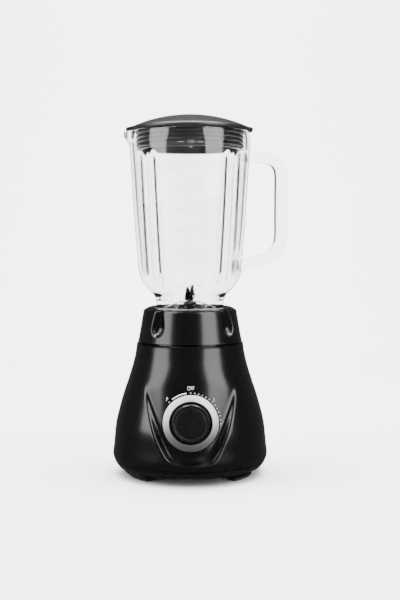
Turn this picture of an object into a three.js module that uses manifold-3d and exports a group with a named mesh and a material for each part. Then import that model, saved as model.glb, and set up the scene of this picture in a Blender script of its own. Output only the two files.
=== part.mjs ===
// Countertop blender: a glass jug on a screwed-on collar, over a bell-shaped motor base.
// Millimetres, +Z up. The front, with the knob, faces -Y and the jug handle points to +X.
// Everything is laid out about the motor axis, and the whole object is centred on its box at the end.
import * as THREE from 'three';
import { mergeVertices } from 'three/addons/utils/BufferGeometryUtils.js';
import Module from 'manifold-3d';

const wasm = await Module();
wasm.setup();

// ---- Driving dimensions ----------------------------------------------------------------------
const GAP = 0.4;                 // clearance between separate pieces
const WALL = 3;                  // moulded plastic wall
const TURN_STEPS = 36;           // facets round the large turned pieces

const PLATE_SEAM = 16;           // height of the seam between base plate and housing
const FOOT_ANGLES = [30, 150, 210, 330];
const FOOT_HALF_ANGLE = 18;
const PAD_HEIGHT = 2.6;
const SCREW_ANGLES = [0, 90, 180, 270];
const SCREW_CIRCLE = 62;
const GLAND_HEIGHT = 50;          // cord inlet in the back of the housing
const GLAND_FACE = 83.7;

const SHOULDER = 141.6;          // top outer edge of the housing
const SPIGOT_RADIUS = 50;        // round raised seat that the collar drops over
const SPIGOT_TOP = 149;
const WELL_RADIUS = 19;          // well round the drive coupling
const WELL_FLOOR = 136;
const KEY_WIDTH = 10;
const KEY_DEPTH = 3.4;

const COLLAR_FOOT = 143.6;
const COLLAR_EDGE = 177.4;
const COLLAR_LIP = 180.2;
const COLLAR_BORE = 37.6;
const LEDGE_LOW = 151;
const LEDGE_HIGH = 154;
const SCALLOP_ANGLES = [45, 135, 225, 315];
const SCALLOP_TURN = 4.5;        // how far the scallops are turned on from those angles

const NECK_RADIUS = 36.4;
const NECK_FOOT = 160.8;
const GLASS_WALL = 4.6;
const RIM_HEIGHT = 367.3;
const FLUTE_DEPTH = 2.6;
const FLUTE_HALF_WIDTH = 11;
const SPOUT_REACH = 7.6;
const JUG_STEPS = 48;            // facets round the jug, a multiple of four so that the flutes match

const DOME_RADIUS = 153.5;
const DOME_TOP = 385.6;
const FLANGE_LOW = 367.8;
const LID_RADIUS = 63;
const FILLER_RADIUS = 24.4;
const CHUTE_RADIUS = 21.5;

const KNOB_HEIGHT = 65;          // centre of the knob above the ground
const KNOB_DEPTH = 70.6;         // centre of the knob's seat in front of the motor axis
const KNOB_TILT = 9;             // degrees that the knob looks upwards
const PANEL_RADIUS = 77;         // the knob panel is part of a large leaning cylinder
const KNOB_SEAT_RADIUS = 30;
// Right half of the recess's outline, in [x, z], at the depth where its walls start to flare.
const RECESS_EDGE = [[14, 51], [18, 54], [25, 63], [34, 75], [47, 92], [62, 114]];
const RECESS_DEPTH = 50;
const RECESS_FLARE = 34;         // how far in front of that depth the flare runs
const FLARE_SLOPE = 0.85;        // how much the outline grows per mm outwards

const SHAFT_RADIUS = 4;
const STACK_LOW = 72;            // motor lamination stack
const STACK_HIGH = 102;
const BOLT_OFFSET = 27.5;        // motor through bolts, left and right of the axis
const MOUNT_OFFSET = 25;         // rubber motor mounts, square pattern
const BRACKET_THICKNESS = 6;
const LOWER_BRACKET = 40;
const UPPER_BRACKET = 112;
const BLADE_SHAFT_RADIUS = 3;

const radians = THREE.MathUtils.degToRad;
const model = new THREE.Group();

// ---- Shape helpers ---------------------------------------------------------------------------
const points2 = (list) => list.map(([x, y]) => new THREE.Vector2(x, y));

// Turned solid about +Z from a profile of [radius, height] pairs, listed bottom to top on the outside.
function turned(profile, steps = TURN_STEPS) {
  const geometry = new THREE.LatheGeometry(points2(profile), steps);
  return geometry.rotateX(Math.PI / 2);
}

const disc = (radius, low, high, steps = 16) => turned([[0, low], [radius, low], [radius, high], [0, high]], steps);

function ring(inner, outer, low, high, steps = 18) {
  return turned([[inner, low], [outer, low], [outer, high], [inner, high], [inner, low]], steps);
}

function box(low, high) {
  const size = high.map((value, axis) => value - low[axis]);
  const geometry = new THREE.BoxGeometry(...size);
  return geometry.translate(...low.map((value, axis) => value + size[axis] / 2));
}

// Straight prism over a plan outline, from height low to height high.
function prism(shape, low, high, curveSegments = 8) {
  const options = { depth: high - low, bevelEnabled: false, curveSegments };
  return new THREE.ExtrudeGeometry(shape, options).translate(0, 0, low);
}

function roundedRectangle(halfX, halfY, corner) {
  const shape = new THREE.Shape();
  shape.moveTo(halfX, -halfY + corner);
  shape.lineTo(halfX, halfY - corner);
  shape.absarc(halfX - corner, halfY - corner, corner, 0, Math.PI / 2);
  shape.absarc(-halfX + corner, halfY - corner, corner, Math.PI / 2, Math.PI);
  shape.absarc(-halfX + corner, -halfY + corner, corner, Math.PI, 1.5 * Math.PI);
  shape.absarc(halfX - corner, -halfY + corner, corner, 1.5 * Math.PI, 2 * Math.PI);
  return shape;
}

// Closed solid of manifold-3d from a geometry: equal corners are joined and empty triangles dropped.
function solid(geometry) {
  const bare = new THREE.BufferGeometry();
  bare.setAttribute('position', geometry.getAttribute('position'));
  if (geometry.index) bare.setIndex(geometry.index);
  const merged = mergeVertices(bare);
  const corners = [];
  for (let i = 0; i < merged.index.count; i += 3) {
    const [a, b, c] = [0, 1, 2].map((k) => merged.index.getX(i + k));
    if (a !== b && b !== c && c !== a) corners.push(a, b, c);
  }
  const vertProperties = new Float32Array(merged.getAttribute('position').array);
  return new wasm.Manifold(new wasm.Mesh({ numProp: 3, vertProperties, triVerts: new Uint32Array(corners) }));
}

function geometryOf(manifold) {
  const { vertProperties, triVerts } = manifold.getMesh();
  const geometry = new THREE.BufferGeometry();
  geometry.setAttribute('position', new THREE.BufferAttribute(vertProperties, 3));
  geometry.setIndex(new THREE.BufferAttribute(triVerts, 1));
  geometry.computeVertexNormals();
  return geometry;
}

const joined = (first, ...others) => others.reduce((sum, next) => sum.add(solid(next)), solid(first));
const cut = (body, ...tools) => tools.reduce((rest, tool) => rest.subtract(solid(tool)), body);

// The geometry moved out to a circle's edge at an angle counted from +X, keeping its local +X outwards.
function atAngle(geometry, degrees, radius = 0) {
  return geometry.translate(radius, 0, 0).rotateZ(radians(degrees));
}

function addPiece(name, geometry, finish, parent = model) {
  const [color, roughness, metalness] = finish;
  const mesh = new THREE.Mesh(geometry, new THREE.MeshStandardMaterial({ color, roughness, metalness }));
  mesh.name = name;
  parent.add(mesh);
  return mesh;
}

// A smooth step from 0 to 1 as value runs from start to end.
const smooth = (value, start, end) => {
  const t = Math.min(Math.max((value - start) / (end - start), 0), 1);
  return t * t * (3 - 2 * t);
};

// ---- Finishes: colour, roughness, metalness --------------------------------------------------
const GLOSS_BLACK = ['#0c0c0d', 0.12, 0];
const SATIN_BLACK = ['#161617', 0.35, 0];
const MATT_BLACK = ['#1b1b1c', 0.6, 0];
const RUBBER = ['#202020', 0.85, 0];
const GLASS = ['#dfe6e6', 0.05, 0];
const CLEAR_SEAL = ['#cfd2cf', 0.5, 0];
const BRUSHED = ['#b9babb', 0.3, 1];
const STEEL = ['#c3c5c6', 0.25, 1];
const ZINC = ['#8f9294', 0.4, 1];
const CAST_ALUMINIUM = ['#9fa1a2', 0.5, 1];
const LAMINATION = ['#55585b', 0.5, 1];
const COPPER = ['#a85a2c', 0.35, 1];
const BRASS = ['#b8944a', 0.35, 1];
const CARBON = ['#26262a', 0.7, 0];
const NYLON = ['#d9d6cc', 0.5, 0];

// ---- Motor housing ---------------------------------------------------------------------------
// Outer radius of the bell by height, as one smooth curve from the seam to the shoulder.
const BELL = new THREE.SplineCurve(points2([
  [82.2, PLATE_SEAM + GAP], [83.7, 22], [82.4, 35], [79.9, 57], [73.2, 83], [66.2, 104], [60.4, 124], [57.9, 138],
  [57.6, SHOULDER],
]));

function bellProfile(inset, low, high, count) {
  const profile = [];
  for (let i = 0; i <= count; i += 1) {
    const { x, y } = BELL.getPoint(i / count);
    if (y >= low && y <= high) profile.push([x - inset, y]);
  }
  return profile;
}

// Large leaning cylinder whose front is the knob panel.
function panelCore(inset) {
  const tilt = radians(KNOB_TILT);
  const core = disc(PANEL_RADIUS - inset, -150, 150, 90).rotateX(-tilt);
  return core.translate(0, PANEL_RADIUS * Math.cos(tilt) - KNOB_DEPTH, KNOB_HEIGHT - PANEL_RADIUS * Math.sin(tilt));
}

// Recess in the front: a V that narrows downwards and ends in a U. Its cutter widens outwards with
// sloping walls, and the panel core stays uncut behind it.
function recessCutter(inset) {
  const left = RECESS_EDGE.map(([x, z]) => [-x, z]).reverse();
  const bevelSize = RECESS_FLARE * FLARE_SLOPE;
  const options = { depth: 20, bevelEnabled: true, bevelThickness: RECESS_FLARE, bevelSize, bevelSegments: 1 };
  const wedge = new THREE.ExtrudeGeometry(new THREE.Shape(points2([...RECESS_EDGE, ...left])), options);
  wedge.rotateX(Math.PI / 2).translate(0, -RECESS_DEPTH - RECESS_FLARE + 2.3 * inset, 0);
  return solid(wedge).subtract(solid(panelCore(inset)));
}

function housingShell() {
  const outer = bellProfile(0, 0, SHOULDER, 10);
  const spigot = [[SPIGOT_RADIUS, SHOULDER], [SPIGOT_RADIUS, SPIGOT_TOP - 1], [SPIGOT_RADIUS - 1, SPIGOT_TOP]];
  const low = PLATE_SEAM + GAP;
  const full = turned([[0, low], ...outer, ...spigot, [0, SPIGOT_TOP]]);
  const bellInside = bellProfile(WALL, 0, SHOULDER - WALL, 7);
  const roof = [[SPIGOT_RADIUS - WALL, SHOULDER - WALL], [SPIGOT_RADIUS - WALL, SPIGOT_TOP - WALL]];
  const hollow = turned([[0, low - 5], [bellInside[0][0], low - 5], ...bellInside, ...roof, [0, SPIGOT_TOP - WALL]]);
  const outside = solid(full).subtract(recessCutter(0));
  const inside = solid(hollow).subtract(recessCutter(WALL));
  return outside.subtract(inside);
}

function knobFrame(geometry) {
  return geometry.rotateX(radians(90 - KNOB_TILT)).translate(0, -KNOB_DEPTH, KNOB_HEIGHT);
}

const SIDE_RIB = 18.5;             // from a screw boss out to the bell's wall
const FRONT_RIB = 11.6;            // the same behind the recessed knob panel

function motorHousing() {
  let body = housingShell();
  const well = ring(WELL_RADIUS, WELL_RADIUS + WALL, WELL_FLOOR - WALL, SPIGOT_TOP - 1, 24);
  body = body.add(solid(well)).add(solid(ring(8, WELL_RADIUS + 1, WELL_FLOOR - WALL, WELL_FLOOR, 24)));
  body = body.subtract(solid(disc(WELL_RADIUS, WELL_FLOOR, SPIGOT_TOP + 1, 24)));
  const seat = knobFrame(disc(KNOB_SEAT_RADIUS, -7, 0, 30));
  body = body.add(solid(seat)).subtract(solid(knobFrame(disc(5.8, -20, 5, 16))));
  for (const angle of SCREW_ANGLES) {
    const rib = box([0, -1.2, 20.6], [angle === 270 ? FRONT_RIB : SIDE_RIB, 1.2, 38]);
    body = body.add(solid(atAngle(disc(5, 18.4, 40, 8), angle, SCREW_CIRCLE)));
    body = body.add(solid(atAngle(rib, angle, SCREW_CIRCLE)));
    body = body.subtract(solid(atAngle(disc(2.4, 17, 36, 8), angle, SCREW_CIRCLE)));
    const notch = box([SPIGOT_RADIUS - KEY_DEPTH, -KEY_WIDTH / 2, SHOULDER], [SPIGOT_RADIUS + 1, KEY_WIDTH / 2, 160]);
    const pocket = box([SPIGOT_RADIUS - KEY_DEPTH - 2, -KEY_WIDTH / 2 - 2, SHOULDER - 2],
      [SPIGOT_RADIUS - 0.5, KEY_WIDTH / 2 + 2, SPIGOT_TOP - 0.5]);
    body = body.add(solid(atAngle(pocket, angle))).subtract(solid(atAngle(notch, angle)));
  }
  for (const [x, y] of mountPlaces()) {
    body = body.add(solid(disc(5, 124.2, SPIGOT_TOP - 1, 8).translate(x, y, 0)));
    body = body.subtract(solid(disc(2.5, 120, 136, 8).translate(x, y, 0)));
  }
  const cordHole = disc(6.5, -10, 10, 20).rotateX(Math.PI / 2).translate(0, 82, GLAND_HEIGHT);
  return body.subtract(solid(cordHole));
}

function mountPlaces() {
  return [[1, 1], [-1, 1], [-1, -1], [1, -1]].map(([x, y]) => [x * MOUNT_OFFSET, y * MOUNT_OFFSET]);
}

// ---- Base plate, feet and their fasteners ----------------------------------------------------
const PLATE_LOW = 9;
const FLOOR_LOW = 11;
const FLOOR_HIGH = 14;

function sector(inner, outer, halfAngle) {
  const shape = new THREE.Shape();
  shape.absarc(0, 0, outer, -radians(halfAngle), radians(halfAngle));
  shape.absarc(0, 0, inner, radians(halfAngle), -radians(halfAngle), true);
  return shape;
}

function basePlate() {
  const rim = [[74, FLOOR_LOW], [75.4, PLATE_LOW], [77.6, PLATE_LOW], [80.4, 12.4], [82, PLATE_SEAM - GAP]];
  const lip = [[78.6, PLATE_SEAM - GAP], [78.6, 20], [76.6, 20], [76.6, FLOOR_HIGH]];
  let body = solid(turned([[0, FLOOR_LOW], ...rim, ...lip, [0, FLOOR_HIGH]]));
  for (const angle of FOOT_ANGLES) {
    const block = solid(prism(sector(54, 79, FOOT_HALF_ANGLE), PAD_HEIGHT + GAP, FLOOR_HIGH - 1).rotateZ(radians(angle)));
    const taper = turned([[0, 0], [68.5, 0], [77.4, PLATE_LOW + 1], [77.4, FLOOR_HIGH], [0, FLOOR_HIGH]]);
    body = body.add(block.intersect(solid(taper)));
  }
  for (const angle of SCREW_ANGLES) {
    body = body.add(solid(atAngle(disc(6.5, FLOOR_HIGH - 1, 18, 10), angle, SCREW_CIRCLE)));
    body = cut(body, atAngle(disc(4.5, 5, FLOOR_HIGH, 10), angle, SCREW_CIRCLE));
    body = cut(body, atAngle(disc(2.4, 5, 20, 8), angle, SCREW_CIRCLE));
  }
  for (let row = -3; row <= 3; row += 1) {
    const reach = 30 - Math.abs(row) * 3;
    body = cut(body, box([row * 9 - 1.8, -reach, 5], [row * 9 + 1.8, -4, 20]));
    body = cut(body, box([row * 9 - 1.8, 4, 5], [row * 9 + 1.8, reach, 20]));
  }
  return geometryOf(body);
}

function plateScrew(angle) {
  const profile = [[0, 11.4], [3.7, 11.4], [3.7, 13.6], [1.8, 13.6], [1.8, 33], [0, 34]];
  return atAngle(turned(profile, 12), angle, SCREW_CIRCLE);
}

function buildBase() {
  addPiece('motor_housing', geometryOf(motorHousing()), GLOSS_BLACK);
  addPiece('base_plate', basePlate(), SATIN_BLACK);
  FOOT_ANGLES.forEach((angle, index) => {
    const pad = prism(sector(55, 67.8, FOOT_HALF_ANGLE - 1), 0, PAD_HEIGHT, 6).rotateZ(radians(angle));
    addPiece(`foot_pad_${index + 1}`, pad, RUBBER);
  });
  SCREW_ANGLES.forEach((angle, index) => addPiece(`plate_screw_${index + 1}`, plateScrew(angle), ZINC));
  const gland = [[3.8, -14], [8.5, -14], [8.5, -9.5], [6, -9.5], [6, -1.2], [9.5, -1.2], [9, 2.6], [3.8, 2.6], [3.8, -14]];
  const inlet = turned(gland, 20).rotateX(-Math.PI / 2).translate(0, GLAND_FACE, GLAND_HEIGHT);
  addPiece('cord_gland', inlet, RUBBER);
  const lip = [[4.7, 136.4], [7.4, 136.4], [7.4, 137.6], [6, 138.4], [4.7, 138.4], [4.7, 136.4]];
  addPiece('drip_seal', turned(lip, 24), RUBBER);
}

// ---- Knob, bezel and speed switch ------------------------------------------------------------
// These pieces are laid out about the knob's own axis, with local +Z out of the panel and +Y up.
function speedKnob() {
  const outside = [[20.6, 1.4], [19.4, 15.2], [18.2, 16.6], [17.6, 16.2], [0, 16.2]];
  let body = solid(turned([[0, 1.4], ...outside], 30));
  body = cut(body, disc(17.6, 0, 13.4, 24));
  body = body.add(solid(ring(3.3, 6.5, 3.6, 14, 20)));
  body = body.add(solid(box([-1.6, 12.4, 13], [1.6, 17, 16.8])));
  return geometryOf(body);
}

function switchBody() {
  const plan = roundedRectangle(17, 15, 2);
  const body = joined(prism(plan, -29, -9, 3), disc(5, -9.5, -0.4, 20));
  return geometryOf(cut(body, disc(3.5, -24, 1, 16)));
}

function buildControls() {
  const panel = new THREE.Group();
  panel.position.set(0, -KNOB_DEPTH, KNOB_HEIGHT);
  panel.rotation.x = radians(90 - KNOB_TILT);
  model.add(panel);
  const bezel = [[21.6, GAP], [28.8, GAP], [28.8, 2.2], [22.4, 5.6], [21.6, 5.2], [21.6, GAP]];
  addPiece('knob_bezel', turned(bezel, 36), BRUSHED, panel);
  addPiece('speed_knob', speedKnob(), SATIN_BLACK, panel);
  addPiece('switch_spindle', turned([[0, -22], [2.9, -22], [2.9, 12.2], [2.4, 12.8], [0, 12.8]], 16), NYLON, panel);
  addPiece('switch_body', switchBody(), MATT_BLACK, panel);
  const nut = solid(disc(8, GAP, 3, 6)).subtract(solid(disc(5.5, 0, 4, 16)));
  addPiece('switch_nut', geometryOf(nut), ZINC, panel);
}

// ---- Motor: stator, brackets, brushes and what holds them ------------------------------------
function statorCore() {
  const windows = [[1, 1], [-1, 1], [-1, -1], [1, -1]].map(([x, y]) => box(
    [x > 0 ? 13 : -21, y > 0 ? 11 : -20, STACK_LOW - 1], [x > 0 ? 21 : -13, y > 0 ? 20 : -11, STACK_HIGH + 1],
  ));
  const bolts = [-BOLT_OFFSET, BOLT_OFFSET].map((x) => disc(2.5, 0, 120, 8).translate(x, 0, 0));
  const stack = solid(prism(roundedRectangle(33, 28, 6), STACK_LOW, STACK_HIGH, 4));
  return geometryOf(cut(stack, disc(18.5, 0, 120, 28), ...windows, ...bolts));
}

// Winding round one pole: a flat racetrack that passes through the stack's windows.
function statorCoil(side) {
  const loop = roundedRectangle(20.6, (STACK_HIGH - STACK_LOW) / 2 + 6, 5);
  loop.holes.push(roundedRectangle(13.4, (STACK_HIGH - STACK_LOW) / 2 + GAP, 0.3));
  const coil = prism(loop, 13.7, 19.6, 3).rotateX(Math.PI / 2);
  coil.translate(0, 0, (STACK_LOW + STACK_HIGH) / 2);
  return side > 0 ? coil.rotateZ(Math.PI) : coil;
}

function bracket(low, postLow, postHigh, mountHoles) {
  const high = low + BRACKET_THICKNESS;
  let body = solid(prism(roundedRectangle(33, mountHoles ? 31 : 22, 6), low, high, 4));
  for (const x of [-BOLT_OFFSET, BOLT_OFFSET]) {
    body = body.add(solid(disc(5, postLow, postHigh, 10).translate(x, 0, 0)));
    body = cut(body, disc(2.5, 0, 130, 8).translate(x, 0, 0));
  }
  body = cut(body, disc(9.5, low - 1, high + 1, 24));
  for (const side of [-1, 1]) {
    const [near, far] = [12, mountHoles ? 26 : 18];
    const window = box([-14, side > 0 ? near : -far, low - 1], [14, side > 0 ? far : -near, high + 1]);
    body = cut(body, window);
  }
  if (mountHoles) mountPlaces().forEach(([x, y]) => { body = cut(body, disc(2.5, 100, 130, 8).translate(x, y, 0)); });
  return geometryOf(body);
}

function brushHolder(side) {
  const tube = joined(box([-5, 14, 50], [5, 33, 62]), box([-4, 18.6, 46.4], [4, 21.6, 51]));
  const holder = geometryOf(cut(tube, box([-3.4, 13, 51.6], [3.4, 31.6, 60.4])));
  return holder.rotateZ(side > 0 ? 0 : Math.PI);
}

class Helix extends THREE.Curve {
  constructor(radius, low, high, turns) {
    super();
    Object.assign(this, { radius, low, high, turns });
  }

  getPoint(t, target = new THREE.Vector3()) {
    const angle = 2 * Math.PI * this.turns * t;
    const along = this.low + (this.high - this.low) * t;
    return target.set(this.radius * Math.cos(angle), along, this.radius * Math.sin(angle));
  }
}

function brushSpring(side) {
  const wire = new THREE.Shape().absarc(0, 0, 0.35, 0, 2 * Math.PI);
  const extrudePath = new Helix(2.2, 22.4, 31, 4);
  const coil = new THREE.ExtrudeGeometry(wire, { steps: 28, bevelEnabled: false, extrudePath, curveSegments: 2 });
  return coil.translate(0, 0, 56).rotateZ(side > 0 ? 0 : Math.PI);
}

function buildMotor() {
  addPiece('stator_core', statorCore(), LAMINATION);
  addPiece('stator_coil_front', statorCoil(-1), COPPER);
  addPiece('stator_coil_rear', statorCoil(1), COPPER);
  addPiece('lower_bracket', bracket(LOWER_BRACKET, LOWER_BRACKET + 1, STACK_LOW - GAP, false), CAST_ALUMINIUM);
  addPiece('upper_bracket', bracket(UPPER_BRACKET, STACK_HIGH + GAP, UPPER_BRACKET + 1, true), CAST_ALUMINIUM);
  addPiece('lower_bearing', ring(SHAFT_RADIUS + GAP, 9, LOWER_BRACKET, LOWER_BRACKET + 6, 24), STEEL);
  addPiece('upper_bearing', ring(SHAFT_RADIUS + GAP, 9, UPPER_BRACKET, UPPER_BRACKET + 6, 24), STEEL);
  [-1, 1].forEach((side, index) => {
    const bolt = turned([[0, 36.4], [4, 36.4], [4, 39.6], [2, 39.6], [2, 120], [0, 120.6]], 12);
    const brush = box([-3, 11.5, 52], [3, 21.8, 60]);
    addPiece(`motor_bolt_${index + 1}`, bolt.translate(side * BOLT_OFFSET, 0, 0), ZINC);
    addPiece(`brush_holder_${index + 1}`, brushHolder(side), BRASS);
    addPiece(`carbon_brush_${index + 1}`, brush.rotateZ(side > 0 ? 0 : Math.PI), CARBON);
    addPiece(`brush_spring_${index + 1}`, brushSpring(side), STEEL);
  });
  mountPlaces().forEach(([x, y], index) => {
    const mount = ring(2.5, 6, UPPER_BRACKET + BRACKET_THICKNESS + GAP, 123.8, 16).translate(x, y, 0);
    const screw = turned([[0, 108.4], [3.8, 108.4], [3.8, 111.6], [2, 111.6], [2, 133], [0, 134]], 12);
    addPiece(`motor_mount_${index + 1}`, mount, RUBBER);
    addPiece(`mount_screw_${index + 1}`, screw.translate(x, y, 0), ZINC);
  });
}

// ---- Rotor: what spins with the motor shaft --------------------------------------------------
const STAR_LOBES = 6;

// Six-lobed outline of the drive teeth, swinging between the two radii.
function starOutline(inner, outer) {
  const corners = [];
  for (let i = 0; i < STAR_LOBES * 4; i += 1) {
    const radius = i % 4 < 2 ? outer : inner;
    const angle = (2 * Math.PI * (i + 0.5)) / (STAR_LOBES * 4);
    corners.push([radius * Math.cos(angle), radius * Math.sin(angle)]);
  }
  return new THREE.Shape(points2(corners));
}

function coolingFan() {
  let body = joined(disc(9, 22, 33, 24), disc(33, 22, 23.6, 32));
  for (let i = 0; i < 9; i += 1) {
    body = body.add(solid(atAngle(box([7, -0.8, 23], [32, 0.8, 33]).rotateZ(0.12), i * 40)));
  }
  return geometryOf(cut(body, disc(SHAFT_RADIUS + GAP, 0, 40, 20)));
}

function motorCoupling() {
  const hub = solid(disc(7.6, 139, 142, 24)).add(solid(prism(starOutline(7.2, 9.4), 141, 147.4)));
  return geometryOf(cut(hub, disc(SHAFT_RADIUS + GAP, 130, 145.4, 20)));
}

function commutator() {
  let body = solid(ring(SHAFT_RADIUS + GAP, 11, 49, 63, 24));
  for (let i = 0; i < 12; i += 1) {
    body = cut(body, atAngle(box([9.9, -0.35, 48], [12, 0.35, 61]), i * 30 + 15));
  }
  return geometryOf(body);
}

function rotorCore() {
  let body = solid(ring(SHAFT_RADIUS + GAP, 17.8, STACK_LOW, STACK_HIGH, 36));
  for (let i = 0; i < 8; i += 1) {
    body = cut(body, atAngle(box([12, -1.2, 60], [19, 1.2, 110]), i * 45));
  }
  return geometryOf(body);
}

function buildRotor() {
  const shaft = [[0, 20], [3.5, 20], [SHAFT_RADIUS, 20.5], [SHAFT_RADIUS, 145], [0, 145]];
  addPiece('rotor_shaft', turned(shaft, 20), STEEL);
  addPiece('rotor_core', rotorCore(), LAMINATION);
  addPiece('commutator', commutator(), COPPER);
  addPiece('cooling_fan', coolingFan(), NYLON);
  addPiece('motor_coupling', motorCoupling(), MATT_BLACK);
}

// ---- Collar, blade holder and seals ----------------------------------------------------------
function jugCollar() {
  const skirt = [[50.8, COLLAR_FOOT], [56.2, COLLAR_FOOT], [55.1, 148.5], [53.4, 158], [51.6, 168.5], [50.4, COLLAR_EDGE - 1.6]];
  const top = [[49.2, COLLAR_EDGE], [43.6, COLLAR_LIP], [40, COLLAR_LIP - 0.4], [COLLAR_BORE, COLLAR_LIP - 1.8]];
  const inside = [[COLLAR_BORE, LEDGE_HIGH], [28, LEDGE_HIGH], [28, LEDGE_LOW], [50.8, LEDGE_LOW], [50.8, COLLAR_FOOT]];
  let body = solid(turned([...skirt, ...top, ...inside]));
  for (const angle of SCALLOP_ANGLES) {
    const scallop = joined(disc(10, 0, 40, 12).scale(1.3, 1, 1), new THREE.SphereGeometry(10, 12, 6).scale(1.3, 1, 1));
    const tool = geometryOf(scallop).rotateY(radians(6)).translate(0, 0, 160.5);
    body = cut(body, atAngle(tool, angle + SCALLOP_TURN, 59.5));
    const cavity = joined(ring(41.2, 46.6, LEDGE_LOW - 2, 172, 24));
    const quarter = box([20, -20, LEDGE_LOW - 3], [60, 20, 173]).rotateZ(radians(angle - 45));
    body = body.subtract(cavity.intersect(solid(quarter)));
    const key = box([SPIGOT_RADIUS - KEY_DEPTH + GAP, -KEY_WIDTH / 2 + GAP, 144.4], [51.8, KEY_WIDTH / 2 - GAP, 151.5]);
    body = body.add(solid(atAngle(key, angle - 45)));
  }
  return geometryOf(body);
}

const HOLDER_TOP = 183.4;

function bladeHolder() {
  const foot = [[8.8, 155.6], [8.8, 158.2], [22.6, 158.2], [22.6, LEDGE_HIGH + GAP]];
  const flange = [[35.6, LEDGE_HIGH + GAP], [35.6, 157.6], [26, 157.6]];
  const cone = [[25.4, 166], [19.6, 175], [10.6, HOLDER_TOP], [6.8, HOLDER_TOP], [6.8, 155.6], [8.8, 155.6]];
  const hollow = [[9.4, 150], [22.4, 150], [22.4, 165], [16.8, 173], [9.4, 179], [9.4, 150]];
  return geometryOf(solid(turned([...foot, ...flange, ...cone], 24)).subtract(solid(turned(hollow, 24))));
}

function buildCollar() {
  addPiece('jug_collar', jugCollar(), GLOSS_BLACK);
  addPiece('blade_holder', bladeHolder(), SATIN_BLACK);
  const bore = BLADE_SHAFT_RADIUS + GAP;
  addPiece('blade_bushing', ring(bore, 6.3, 156, 179.4, 20), BRASS);
  addPiece('shaft_seal', ring(bore, 6.3, 179.8, HOLDER_TOP - 0.2, 20), RUBBER);
  addPiece('jug_seal', ring(31, 35.8, 158, NECK_FOOT - GAP, 36), CLEAR_SEAL);
}

// ---- Blades and the coupling below them ------------------------------------------------------
const LOWER_BLADE = 28.5;          // reach of the drooping pair from the shaft
const UPPER_BLADE = 21.5;          // reach of the raised pair
const UPPER_TURN = 82;             // degrees that the raised pair is turned from the drooping one

// A pair of blades bent from one strip, as wide as width(distance) and lifted by rise(distance).
function bladePair(length, thickness, width, rise) {
  const strip = new THREE.BoxGeometry(2 * length, 1, thickness, 14, 2, 1).translate(0, 0, thickness / 2);
  const bore = disc(BLADE_SHAFT_RADIUS + GAP, -1, 4, 12);
  const position = strip.getAttribute('position');
  for (let i = 0; i < position.count; i += 1) {
    const distance = Math.abs(position.getX(i));
    position.setY(i, position.getY(i) * width(distance));
    position.setZ(i, position.getZ(i) + rise(distance));
  }
  return geometryOf(solid(strip).subtract(solid(bore)));
}

function jugCoupling() {
  const cup = joined(disc(13.6, 140.4, 150, 36), disc(7, 149, 153.6, 24));
  const teeth = prism(starOutline(8, 10.3), 139, 148.2);
  return geometryOf(cut(cup, teeth, disc(10, 139, 143.4, 24)));
}

function buildBlades() {
  const shaft = [[0, 153.9], [BLADE_SHAFT_RADIUS, 153.9], [BLADE_SHAFT_RADIUS, 189.2], [5, 189.2], [4, 190.6], [0, 191]];
  addPiece('blade_shaft', turned(shaft, 20), STEEL);
  addPiece('blade_spacer', ring(BLADE_SHAFT_RADIUS + GAP, 7.4, HOLDER_TOP + GAP, 185.6, 24), SATIN_BLACK);
  addPiece('jug_coupling', jugCoupling(), MATT_BLACK);
  const lowerWidth = (distance) => 21 - 15 * smooth(distance, 13, LOWER_BLADE);
  const droop = (distance) => -9 * smooth(distance, 6, 34);
  const lower = bladePair(LOWER_BLADE, 1.2, lowerWidth, droop);
  addPiece('blade_lower', lower.translate(0, 0, 186), STEEL);
  const upperWidth = (distance) => 9.4 - 6 * smooth(distance, 8, UPPER_BLADE);
  const sweep = (distance) => 1.15 * Math.max(distance - 8, 0);
  const upper = bladePair(UPPER_BLADE, 1.2, upperWidth, sweep);
  addPiece('blade_upper', upper.rotateZ(radians(UPPER_TURN)).translate(0, 0, 187.6), STEEL);
}

// ---- Glass jug -------------------------------------------------------------------------------
// Outer radius by height, from the neck inside the collar up to the pouring rim.
const JUG = new THREE.SplineCurve(points2([
  [NECK_RADIUS, 187.5], [39.6, 193.8], [46.2, 200.2], [51.2, 207.6], [55.2, 217.5], [56.7, 234], [59, 263], [61, 293],
  [62.8, 323], [64.2, 343],
]));

function jugProfile(inset, foot, rim) {
  const profile = [[NECK_RADIUS - inset, foot]];
  for (let i = 0; i <= 7; i += 1) {
    const { x, y } = JUG.getPoint(i / 7);
    profile.push([x - inset, y]);
  }
  profile.push([64.6 - inset, 356], [63.4 - inset, rim]);
  return profile;
}

// Presses the flutes into a turned jug and pulls its spout out to -X, by moving the corners.
function shapedJug(profile) {
  const geometry = turned([[0, profile[0][1]], ...profile, [0, profile[profile.length - 1][1]]], JUG_STEPS);
  const position = geometry.getAttribute('position');
  for (let i = 0; i < position.count; i += 1) {
    const [x, y, z] = [position.getX(i), position.getY(i), position.getZ(i)];
    const radius = Math.hypot(x, y);
    if (radius < 1) continue;
    const angle = THREE.MathUtils.euclideanModulo(Math.atan2(y, x), Math.PI / 2) - Math.PI / 4;
    const across = Math.abs(angle) * radius;
    const flute = FLUTE_DEPTH * smooth(-across, -FLUTE_HALF_WIDTH, -3) * smooth(z, 198, 214) * smooth(-z, -348, -334);
    const fromSpout = Math.abs(Math.PI - Math.abs(Math.atan2(y, x)));
    const spout = SPOUT_REACH * smooth(-fromSpout, -0.36, -0.04) * smooth(z, 352, 365);
    const scale = (radius - flute + spout) / radius;
    position.setXY(i, x * scale, y * scale);
  }
  return solid(geometry);
}

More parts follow.
